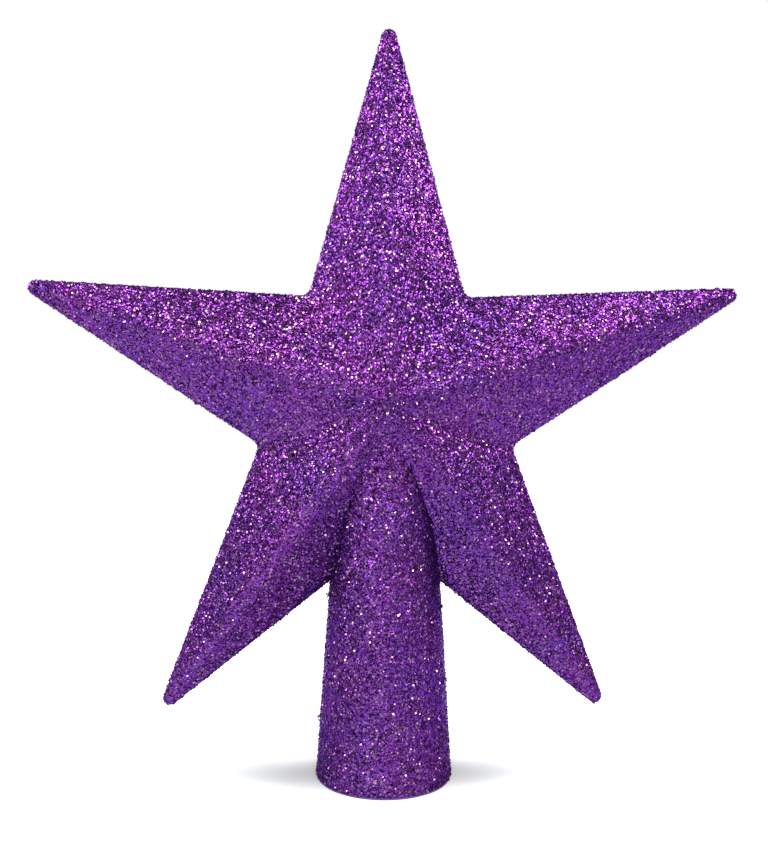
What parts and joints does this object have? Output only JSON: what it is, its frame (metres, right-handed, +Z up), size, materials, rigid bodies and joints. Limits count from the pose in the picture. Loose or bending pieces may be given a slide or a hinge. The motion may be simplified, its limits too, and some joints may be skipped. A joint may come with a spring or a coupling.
{
  "type": "star tree topper",
  "caption": "Hollow five-pointed star tree topper with ridged faces front and back and a tapered sleeve that slips over a tree's top shoot, moulded as two bonded half shells.",
  "frame": {"origin": "centre of the sleeve's open foot, on the plane it stands on", "axes": "+Z up along the sleeve to the star's top arm, -Y towards the viewer of the front, +X to the viewer's right"},
  "size_m": [0.1904, 0.0364, 0.2011],
  "materials": {
    "glitter_coat": "deep purple plastic coated all over with fine violet and lavender glitter"
  },
  "bodies": {
    "root": {"front_shell": "glitter_coat", "rear_shell": "glitter_coat"}
  },
  "joints": []
}
